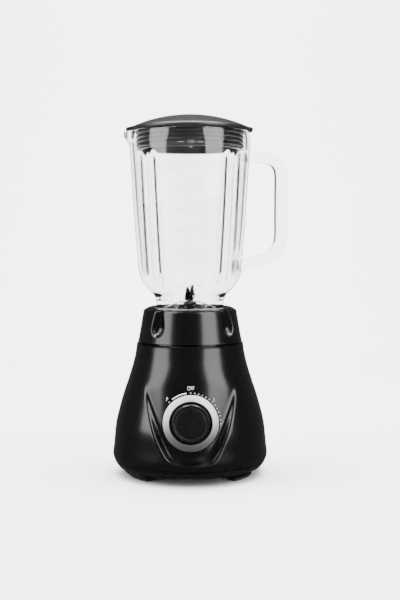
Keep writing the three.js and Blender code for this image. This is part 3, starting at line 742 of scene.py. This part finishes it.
# ---- Knob, bezel and dial -----------------------------------------------------------------------
class CTB_OT_bezel(bpy.types.Operator):
    """Spun aluminium bezel round the knob."""

    bl_idname = "ctb.bezel"
    bl_label = "Bezel"

    def execute(self, context):
        profile = [(21.6, 0.4), (28.8, 0.4), (28.8, 2.2), (22.4, 5.6), (21.6, 5.2)]
        obj = on_panel(rounded(turned("bezel_ring", profile, centre=(0, 0, 0)), 0.25))
        finished(obj, finish_of("bezel"), "base", ["knob_bezel"])
        return {"FINISHED"}


class CTB_OT_knob(bpy.types.Operator):
    """Speed knob with its grip ridges and pointer."""

    bl_idname = "ctb.knob"
    bl_label = "Speed knob"

    def execute(self, context):
        settings = context.scene.ctb_knob
        side = [(20.6 - 1.2 * i / 8, 1.4 + 13.8 * i / 8) for i in range(9)]
        lip = [(18.2, 16.6), (17.2, 16.2), (16.4, 16.2)]
        face = [(16.2, 15.7), (15.4, 15.7), (15.2, 16.2), (6, 16.2), (1, 16.2)]
        profile = [(17.6, 13.4), (17.6, 1.4), *side, *lip, *face]
        obj = turned("knob_body", profile, 4 * settings.ridges, False, (0, 0, 0))
        rounded(obj, 0.3)
        depth = settings.ridge_depth / MM
        for corner in obj.data.vertices:
            x, y, z = corner.co / MM
            radius = math.hypot(x, y)
            part = smooth(radius, 18.6, 19.2) * smooth(z, 1.8, 2.6) * smooth(-z, -15.4, -14.6)
            ridge = depth * part * (0.5 - 0.5 * math.cos(settings.ridges * math.atan2(y, x)))
            corner.co = Vector((x, y, z)) * MM * (1 - ridge / max(radius, 1))
            corner.co.z = z * MM
        place, size = Vector((0, 14.7, 15.9)) * MM, Vector((2.2, 4.4, 1.8)) * MM
        bpy.ops.mesh.primitive_cube_add(size=1, location=place, scale=size)
        pointer = rounded(closed_up(started("pointer")), 0.3, 2)
        on_panel(merged(obj, pointer))
        finished(obj, finish_of("satin_black"), "knob", ["speed_knob"])
        return {"FINISHED"}


def lettering(name, words, height, width_factor=1.0):
    """Thin raised lettering about the world's origin, in its XY plane."""
    bpy.ops.object.text_add(location=(0, 0, 0))
    text = bpy.context.object
    text.data.body = words
    text.data.size = height * 1.38 * MM
    text.data.align_x = "CENTER"
    text.data.align_y = "CENTER"
    text.data.extrude = 0.05 * MM
    text.data.offset = -0.09 * MM
    text.scale = (width_factor, 1, 1)
    bpy.ops.object.convert(target="MESH")
    return closed_up(started(name))


def shifted(obj, x, y):
    """Slides a flat piece in its own plane, in mm."""
    for corner in obj.data.vertices:
        corner.co += Vector((x * MM, y * MM, 0))
    return obj


class CTB_OT_dial(bpy.types.Operator):
    """White printing round the knob: dots, an arc and the speed marks."""

    bl_idname = "ctb.dial"
    bl_label = "Dial printing"

    def execute(self, context):
        settings = context.scene.ctb_knob
        radius = settings.dial_radius / MM
        turns = [math.radians(91 * i / (settings.dots - 1)) for i in range(settings.dots)]
        marks = []
        for turn in [*turns, math.radians(-45.6)]:
            place = (radius * math.sin(turn) * MM, radius * math.cos(turn) * MM, 0)
            bpy.ops.mesh.primitive_cylinder_add(vertices=16, radius=0.46 * MM, depth=0.1 * MM, location=place)
            marks.append(closed_up(started("dot")))
        inner, outer = radius - 0.5, radius + 0.5
        section = [(inner, -0.05), (outer, -0.05), (outer, 0.05), (inner, 0.05)]
        arc = turned("arc", section, 360, centre=(0, 0, 0))
        bpy.ops.object.mode_set(mode="EDIT")
        for turn, keep in ((-8, 1), (-38, -1)):
            bpy.ops.mesh.select_all(action="SELECT")
            side = Vector((math.cos(math.radians(turn)), -math.sin(math.radians(turn)), 0)) * keep
            bpy.ops.mesh.bisect(plane_co=(0, 0, 0), plane_no=side, clear_outer=True, use_fill=True)
        bpy.ops.mesh.select_all(action="SELECT")
        bpy.ops.mesh.bisect(plane_co=(0, 0, 0), plane_no=(0, 1, 0), clear_inner=True)
        closed_up(arc)
        marks.append(arc)
        for words, degrees, gap in (("P", -45, 3.4), ("OFF", 0, 4.6), ("1", 45, 3.0), ("2", 91, 2.7)):
            turn, reach = math.radians(degrees), radius + gap
            label = lettering("label", words, 4.3, 0.72)
            marks.append(shifted(label, reach * math.sin(turn), reach * math.cos(turn)))
        obj = joined("dial_marks", marks)
        for corner in obj.data.vertices:
            fall = PANEL_RADIUS - math.sqrt(PANEL_RADIUS**2 - (corner.co.x / MM) ** 2)
            corner.co.z += (0.08 - fall) * MM
        finished(on_panel(obj), finish_of("dial_ink"), "base")
        return {"FINISHED"}


# ---- Collar and blades --------------------------------------------------------------------------
def scalloped(x, y, z):
    """Presses the four finger scallops into the collar."""
    for angle in SCALLOP_ANGLES:
        turn = math.radians(angle)
        outwards = x * math.cos(turn) + y * math.sin(turn)
        across = y * math.cos(turn) - x * math.sin(turn)
        above = z - SCALLOP_HEIGHT
        spread = SCALLOP_RADIUS**2 - across * across - min(above, 0) ** 2
        if outwards < 35 or spread <= 0:
            continue
        edge = SCALLOP_REACH + above * math.tan(math.radians(6)) - SCALLOP_STRETCH * math.sqrt(spread)
        pressed = soft_min(outwards, edge, 1.2)
        x = pressed * math.cos(turn) - across * math.sin(turn)
        y = pressed * math.sin(turn) + across * math.cos(turn)
        return x, y, z
    return x, y, z


class CTB_OT_collar(bpy.types.Operator):
    """Jug collar with its scallops and bayonet keys."""

    bl_idname = "ctb.collar"
    bl_label = "Jug collar"

    def execute(self, context):
        skirt = [(56.2, 143.6), (55.1, 148.5), (53.4, 158), (51.6, 168.5), (50.4, 175.8)]
        even = curve_through(skirt, 8)
        edge = [(50.4, 175.8), (50.1, 176.8), (49.2, 177.4)]
        rolled = [(49.2, 177.4), (46.4, 179.1), (43.6, 180.2), (41.6, 180.2), (40, 179.8), (38.4, 179.2)]
        top = curve_through(rolled, 3)[1:]
        inside = [(37.6, 178.4), (37.6, 154), (28, 154), (28, 151), (50.8, 151), (50.8, 143.6)]
        obj = turned("collar_body", [*even[:-1], *edge, *top, *inside], 320)
        rounded(obj, 0.5, 2)
        warp(obj, scalloped)
        for angle in QUARTERS:
            merged(obj, turned_about(block("key", (47, -4.3, 144.4), (51.8, 4.3, 151.5)), angle))
        finished(obj, finish_of("gloss_black"), "collar", ["jug_collar"], 50)
        return {"FINISHED"}


class CTB_OT_holder(bpy.types.Operator):
    """Black cone that carries the blades."""

    bl_idname = "ctb.holder"
    bl_label = "Blade holder"

    def execute(self, context):
        flange = [(22.6, 154.4), (35.6, 154.4), (35.6, 157.6), (26, 157.8)]
        cone = curve_through([(25.4, 166), (23.4, 170.6), (19.6, 175), (14.6, 179.6), (10.6, 183.4)], 4)
        bore = [(6.8, 183.4), (6.8, 155.6), (9.4, 155.6)]
        hollow = [(9.4, 179), (16.8, 173), (22.4, 165), (22.6, 158.2)]
        obj = rounded(turned("holder_cone", [*flange, *cone, *bore, *hollow], 128), 0.4)
        finished(obj, finish_of("satin_black"), "collar", ["blade_holder"])
        return {"FINISHED"}


def blade(name, length, height, width, rise, degrees):
    """A pair of blades drawn out of one strip of steel, then bent."""
    bpy.ops.mesh.primitive_plane_add(size=1, rotation=(0, math.pi / 2, 0), location=at(-length, 0, 0))
    obj = started(name)
    bpy.ops.transform.resize(value=(1, 2 * MM, MM), center_override=at(-length, 0, 0))
    pieces = 36
    for _ in range(pieces):
        bpy.ops.mesh.extrude_region_move(TRANSFORM_OT_translate={"value": (2 * length * MM / pieces, 0, 0)})
    closed_up(obj)

    def shape(x, y, z):
        far = abs(x)
        side = y * width(far) / 2
        top = height + 0.6 + 1.2 * z + rise(far)
        return x, side, top

    applied(warp(obj, shape), "BEVEL", width=0.35 * MM, segments=1, limit_method="ANGLE")
    return turned_about(obj, degrees)


class CTB_OT_blades(bpy.types.Operator):
    """Drooping and raised blade pairs on their riveted shaft."""

    bl_idname = "ctb.blades"
    bl_label = "Blades"

    def execute(self, context):
        lower = blade(
            "blade_low_pair", LOWER_BLADE, 186, lambda far: 21 - 15 * smooth(far, 13, LOWER_BLADE),
            lambda far: -9 * smooth(far, 6, 34), 0,
        )
        upper = blade(
            "blade_high_pair", UPPER_BLADE, 187.6, lambda far: 9.4 - 6 * smooth(far, 8, UPPER_BLADE),
            lambda far: 1.15 * max(far - 8, 0), UPPER_TURN,
        )
        finished(lower, finish_of("polished"), "blades", ["blade_lower"])
        finished(upper, finish_of("polished"), "blades", ["blade_upper"])
        rod = [(3, 153.9), (3, SHAFT_TOP)]
        rivet = [(5, SHAFT_TOP), (4.6, 190.1), (3.6, 190.7), (2, 190.95), (0.5, 191)]
        shaft = rounded(turned("blade_rod", [*rod, *rivet], 64, False), 0.15)
        finished(shaft, finish_of("polished"), "blades", ["blade_shaft"])
        return {"FINISHED"}


# ---- Glass jug ----------------------------------------------------------------------------------
def swept_handle():
    """Handle drawn along its path: a ring of corners extruded and laid along the curve."""
    path = curve_through(HANDLE, 8)
    count = len(path)
    bpy.ops.mesh.primitive_circle_add(vertices=32, radius=MM, location=AXIS)
    obj = started("handle")
    for _ in range(count - 1):
        bpy.ops.mesh.extrude_region_move(TRANSFORM_OT_translate={"value": (0, 0, MM)})
    closed_up(obj)

    def shape(x, y, z):
        index = round(z)
        before, after = path[max(index - 1, 0)], path[min(index + 1, count - 1)]
        along = Vector((after[0] - before[0], after[1] - before[1])).normalized()
        across = HANDLE_ACROSS * math.copysign(math.sqrt(abs(y)), y)
        out = HANDLE_OUT * math.copysign(math.sqrt(abs(x)), x)
        return path[index][0] + out * along.y, across, path[index][1] - out * along.x

    return warp(obj, shape)


class CTB_OT_jug(bpy.types.Operator):
    """Fluted glass jug with its spout and handle."""

    bl_idname = "ctb.jug"
    bl_label = "Glass jug"

    def execute(self, context):
        settings = context.scene.ctb_jug
        depth, reach = settings.flute_depth / MM, settings.spout_reach / MM
        wall = [(36.4, 160.8), (36.4, 174), *curve_through(JUG, 8)]
        inner = [(radius - GLASS_WALL, z) for radius, z in reversed(wall)]
        obj = turned("jug_glass", [*wall, *inner], settings.steps)
        rounded(obj, 1.6, 4, 50)

        def shape(x, y, z):
            radius = math.hypot(x, y)
            turn = math.atan2(y, x)
            across = abs(turn % (math.pi / 2) - math.pi / 4) * radius
            flute = depth * smooth(-across, -11, -3) * smooth(z, 198, 214) * smooth(-z, -348, -334)
            from_spout = math.pi - abs(turn)
            spout = reach * smooth(-from_spout, -0.36, -0.04) * smooth(z, 352, 365)
            scale = (radius - flute + spout) / radius
            return x * scale, y * scale, z

        warp(obj, shape)
        merged(obj, swept_handle())
        finished(obj, finish_of("glass"), "jug", ["glass_jug"], 60)
        return {"FINISHED"}


class CTB_OT_jug_marks(bpy.types.Operator):
    """Measuring marks on the front of the jug."""

    bl_idname = "ctb.jug_marks"
    bl_label = "Measuring marks"

    def execute(self, context):
        marks = []
        for words, height in GRADUATIONS.items():
            marks.append(shifted(lettering("number", words, 3.4, 0.85), 0, height))
            for side in (-10, 10):
                place, size = Vector((side, height, 0)) * MM, Vector((6.8, 0.45, 0.1)) * MM
                bpy.ops.mesh.primitive_cube_add(size=1, location=place, scale=size)
                started("line")
                bpy.ops.mesh.subdivide(number_cuts=5)
                marks.append(closed_up(bpy.context.object))
        marks.append(shifted(lettering("unit", "ml", 3.0, 0.9), 0, 346.6))
        obj = joined("jug_marks", marks)
        for corner in obj.data.vertices:
            x, height, lift = corner.co / MM
            radius = radius_at(JUG, height) + 0.08 + lift
            turn = x / radius
            corner.co = at(radius * math.sin(turn), -radius * math.cos(turn), height)
        finished(obj, finish_of("scale_ink"), "jug")
        return {"FINISHED"}


# ---- Lid ----------------------------------------------------------------------------------------
class CTB_OT_lid(bpy.types.Operator):
    """Domed lid with its pouring beak, lifting tab and plug."""

    bl_idname = "ctb.lid"
    bl_label = "Lid"

    def execute(self, context):
        step = dome_height(FILLER_RADIUS) - LID_SKIN
        plug = [(51.5, 348.6), (54, 348.6), (54, FLANGE_LOW), (60, FLANGE_LOW)]
        flange = [(62.4, FLANGE_LOW), (63, 368.8), (63, 371.2)]
        chute = [(24.4, step), (21.5, step), (21.5, 361), (24.4, 361), (24.4, step - 3.4)]
        under = [*dome_arc(28, 50, 4, LID_SKIN), (51.5, 372)]
        obj = turned("lid_dome", [*plug, *flange, *dome_arc(61.6, FILLER_RADIUS, 16), *chute, *under], 256)
        rounded(obj, 0.5, 3)

        def shape(x, y, z):
            radius = math.hypot(x, y)
            if radius < 61.7:
                return x, y, z
            beak, tab = 5.6 * smooth(-abs(y), -22, -4), 4.6 * smooth(-abs(y), -14, -9)
            push = beak if x < 0 else tab
            scale = 1 + push * smooth(radius, 61.8, 62.3) / radius
            return x * scale, y * scale, z

        warp(obj, shape)
        finished(obj, finish_of("lid_black"), "lid", ["lid_cover"], 45)
        return {"FINISHED"}


class CTB_OT_gasket(bpy.types.Operator):
    """Ribbed gasket round the lid's plug."""

    bl_idname = "ctb.gasket"
    bl_label = "Lid gasket"

    def execute(self, context):
        rib = [(56, 0), (57.3, 0.9), (58.1, 1.9), (57.9, 2.7), (57, 3.6)]
        feet = [349.4 + count * RIB_PITCH for count in range(4)]
        outside = [(57, 348.2), *[(radius, foot + rise) for foot in feet for radius, rise in rib]]
        profile = [*outside, (56, 367.4), (54.3, 367.4), (54.3, 348.2)]
        obj = rounded(turned("gasket_ring", profile), 0.3, 2, 50)
        finished(obj, finish_of("gasket"), "lid", ["lid_gasket"])
        return {"FINISHED"}


class CTB_OT_cap(bpy.types.Operator):
    """Flush filler cap with its grip bar."""

    bl_idname = "ctb.cap"
    bl_label = "Filler cap"

    def execute(self, context):
        step = dome_height(FILLER_RADIUS) - 2.9
        skirt = [(18.4, 376.2), (18.4, 364), (20.9, 364), (20.9, step), (24.1, step)]
        top = [*dome_arc(24.1, 15, 5), (14.4, 384.2), (13.6, 379.6), (8, 379.2), (1, 379)]
        obj = turned("cap_disc", [*skirt, *top], 160, False)
        rounded(obj, 0.5, 3)
        grip = rounded(block("grip", (-14.2, -2.6, 378.4), (14.2, 2.6, DOME_TOP - 0.3)), 0.9, 3)
        merged(obj, grip)
        finished(obj, finish_of("lid_black"), "cap", ["filler_cap"])
        return {"FINISHED"}


# ---- Carried-over nodes and stage ---------------------------------------------------------------
def numbered(name, count):
    """The names of like nodes."""
    return [f"{name}_{number}" for number in range(1, count + 1)]


CARRIED = {
    "rubber": [
        *numbered("foot_pad", 4), *numbered("motor_mount", 4), "cord_gland", "drip_seal", "shaft_seal",
    ],
    "silicone": ["jug_seal"],
    "satin_black": ["blade_spacer"],
    "matt_black": ["switch_body", "motor_coupling", "jug_coupling"],
    "polished": ["rotor_shaft", "upper_bearing", "lower_bearing", *numbered("brush_spring", 2)],
    "zinc": [
        *numbered("plate_screw", 4), *numbered("motor_bolt", 2), *numbered("mount_screw", 4), "switch_nut",
    ],
    "cast": ["lower_bracket", "upper_bracket"],
    "sheets": ["stator_core", "rotor_core"],
    "copper": ["stator_coil_front", "stator_coil_rear", "commutator"],
    "brass": [*numbered("brush_holder", 2), "blade_bushing"],
    "carbon": numbered("carbon_brush", 2),
    "nylon": ["cooling_fan", "switch_spindle"],
}


class CTB_OT_inner_parts(bpy.types.Operator):
    """Finishes for the CAD pieces that keep their CAD shape."""

    bl_idname = "ctb.inner_parts"
    bl_label = "Inner parts"

    def execute(self, context):
        for finish, nodes in CARRIED.items():
            for node in nodes:
                shown(node, finish_of(finish))
        return {"FINISHED"}


def softbox(name, azimuth, elevation, distance, size, power):
    """A soft area light aimed at the middle of the blender."""
    centre = at(0, 0, 160)
    turn, lift = math.radians(azimuth), math.radians(elevation)
    way = Vector((math.sin(turn) * math.cos(lift), -math.cos(turn) * math.cos(lift), math.sin(lift)))
    bpy.ops.object.light_add(type="AREA", location=centre + way * distance)
    light = bpy.context.object
    light.name = name
    light.rotation_euler = way.to_track_quat("Z", "Y").to_euler()
    light.data.shape = "RECTANGLE"
    light.data.size, light.data.size_y = size
    light.data.energy = power
    return light


SWEEP_FLOOR, SWEEP_BEND, SWEEP_WALL = 1.7, 0.8, 1.8     # metres of flat floor, bend radius, metres of wall
SWEEP_WIDTH, SWEEP_FRONT = 1.9, -0.9


def sweep_place(across, share):
    """Where a point goes that lies a share of the way along the sweep, from its front edge to its top."""
    bend = SWEEP_BEND * math.pi / 2
    run = share * (SWEEP_FLOOR + bend + SWEEP_WALL)
    turn = min(max(run - SWEEP_FLOOR, 0), bend) / SWEEP_BEND
    y = min(run, SWEEP_FLOOR) + SWEEP_BEND * math.sin(turn) + SWEEP_FRONT
    z = SWEEP_BEND * (1 - math.cos(turn)) + max(run - SWEEP_FLOOR - bend, 0)
    return Vector((across * SWEEP_WIDTH, y, z))


class CTB_OT_stage(bpy.types.Operator):
    """Floor, backdrop, lights and camera."""

    bl_idname = "ctb.stage"
    bl_label = "Stage"

    def execute(self, context):
        settings = context.scene.ctb_stage
        bpy.ops.mesh.primitive_grid_add(x_subdivisions=2, y_subdivisions=90, size=1)
        sweep = started("studio_sweep")
        bpy.ops.object.mode_set(mode="OBJECT")
        for corner in sweep.data.vertices:
            corner.co = sweep_place(corner.co.x, corner.co.y + 0.5)
        bpy.ops.object.shade_smooth()
        sweep.data.materials.append(finish_of("studio"))
        sweep.visible_glossy = False      # as if black cards stood round the blender

        lights = [
            softbox("key_right", 46, 30, 1.35, (0.9, 1.5), 29),
            softbox("key_left", -63, 30, 1.35, (0.9, 1.5), 28),
            softbox("top", 0, 88, 1.5, (1.4, 1.0), 8),
            softbox("floor_fill", 0, 84, 2.2, (2.6, 2.6), 150),
        ]
        bpy.ops.object.light_add(type="AREA", location=(0, 0.15, 1.9))
        back = bpy.context.object
        back.name = "backdrop"
        back.rotation_euler = (math.radians(48), 0, 0)
        back.data.shape = "RECTANGLE"
        back.data.size, back.data.size_y = 1.8, 0.6
        back.data.energy = 150
        floor_fill = lights[-1]
        floor_fill.visible_glossy = False

        world = bpy.data.worlds.new("room")
        world.use_nodes = True
        sky = next(n for n in world.node_tree.nodes if n.type == "BACKGROUND")
        sky.inputs["Color"].default_value = (*settings.tint, 1)
        context.scene.world = world

        turn, pitch = settings.azimuth, settings.pitch
        place = AXIS + Vector((math.sin(turn), -math.cos(turn), 0)) * settings.distance
        place.z = settings.height
        aim = AXIS + Vector((math.cos(turn), math.sin(turn), 0)) * settings.aim
        aim.z = settings.height - settings.distance * math.tan(pitch)
        bpy.ops.object.camera_add(location=place)
        camera = bpy.context.object
        camera.name = "camera"
        camera.rotation_euler = (aim - place).to_track_quat("-Z", "Y").to_euler()
        camera.data.lens = settings.lens
        camera.data.sensor_width = 36
        context.scene.camera = camera
        return {"FINISHED"}


# ---- Panel and registration ---------------------------------------------------------------------
PIECES = (
    CTB_OT_housing, CTB_OT_knob_seat, CTB_OT_base_plate, CTB_OT_bezel, CTB_OT_knob, CTB_OT_dial,
    CTB_OT_collar, CTB_OT_holder, CTB_OT_blades, CTB_OT_jug, CTB_OT_jug_marks, CTB_OT_lid, CTB_OT_gasket,
    CTB_OT_cap, CTB_OT_inner_parts, CTB_OT_stage,
)
SETTINGS = {
    "ctb_housing": HousingSettings,
    "ctb_jug": JugSettings,
    "ctb_knob": KnobSettings,
    "ctb_stage": StageSettings,
}


class CTB_PT_sidebar(bpy.types.Panel):
    """Sidebar panel with every piece's button and settings."""

    bl_idname = "CTB_PT_sidebar"
    bl_label = "Countertop Blender"
    bl_space_type = "VIEW_3D"
    bl_region_type = "UI"
    bl_category = "Blender"

    def draw(self, context):
        for piece in PIECES:
            self.layout.operator(piece.bl_idname)
        for name in SETTINGS:
            box = self.layout.box()
            group = getattr(context.scene, name)
            for field in group.__annotations__:
                box.prop(group, field)


def register():
    """Adds the settings, operators and panel."""
    for group in SETTINGS.values():
        bpy.utils.register_class(group)
    for piece in PIECES:
        bpy.utils.register_class(piece)
    bpy.utils.register_class(CTB_PT_sidebar)
    for name, group in SETTINGS.items():
        setattr(bpy.types.Scene, name, PointerProperty(type=group))


def unregister():
    """Takes them away again."""
    for name in SETTINGS:
        delattr(bpy.types.Scene, name)
    bpy.utils.unregister_class(CTB_PT_sidebar)
    for piece in reversed(PIECES):
        bpy.utils.unregister_class(piece)
    for group in SETTINGS.values():
        bpy.utils.unregister_class(group)


def main():
    """Builds every piece in order."""
    register()
    bpy.ops.ctb.housing()
    bpy.ops.ctb.knob_seat()
    bpy.ops.ctb.base_plate()
    bpy.ops.ctb.bezel()
    bpy.ops.ctb.knob()
    bpy.ops.ctb.dial()
    bpy.ops.ctb.collar()
    bpy.ops.ctb.holder()
    bpy.ops.ctb.blades()
    bpy.ops.ctb.jug()
    bpy.ops.ctb.jug_marks()
    bpy.ops.ctb.lid()
    bpy.ops.ctb.gasket()
    bpy.ops.ctb.cap()
    bpy.ops.ctb.inner_parts()
    bpy.ops.ctb.stage()


if __name__ == "__main__":
    main()
